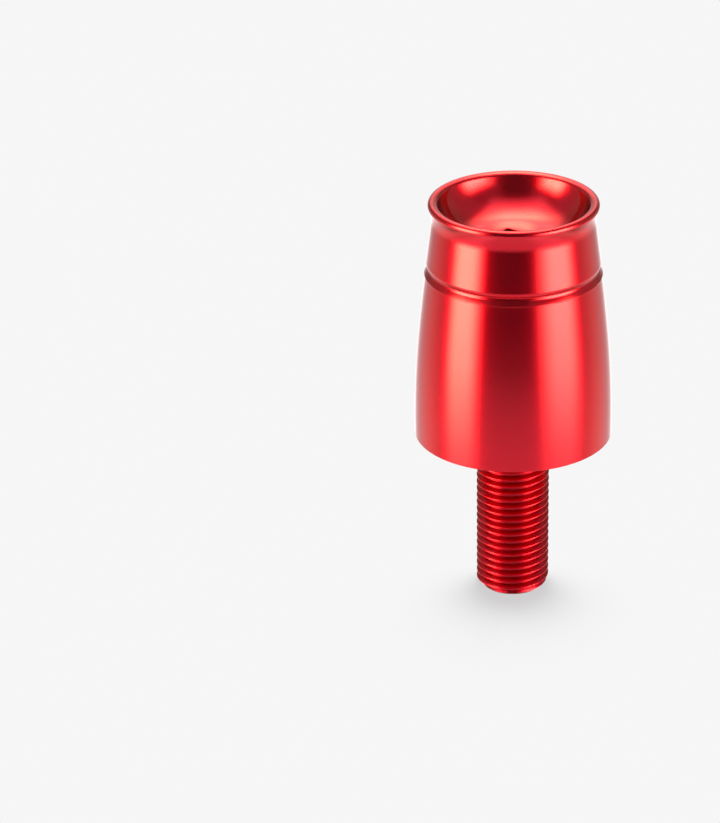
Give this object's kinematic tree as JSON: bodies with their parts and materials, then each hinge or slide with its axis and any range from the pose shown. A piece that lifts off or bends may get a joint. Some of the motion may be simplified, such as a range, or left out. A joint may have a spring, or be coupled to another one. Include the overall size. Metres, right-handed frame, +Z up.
{
  "type": "bar end weight",
  "caption": "Turned aluminium weight that screws into the end of a motorcycle handlebar, with a dished head, a hexagon socket, a tapered neck and a barrel-shaped skirt.",
  "frame": {"origin": "centre of the stud's end face, which the part stands on", "axes": "+Z up along the axis of turning, from the stud to the dished head; two corners of the hexagon socket point along +Y and -Y"},
  "size_m": [0.0324, 0.0324, 0.0686],
  "materials": {
    "red_anodised": "satin red anodised over a fine turned surface"
  },
  "bodies": {
    "root": {"bar_end_weight": "red_anodised"}
  },
  "joints": []
}
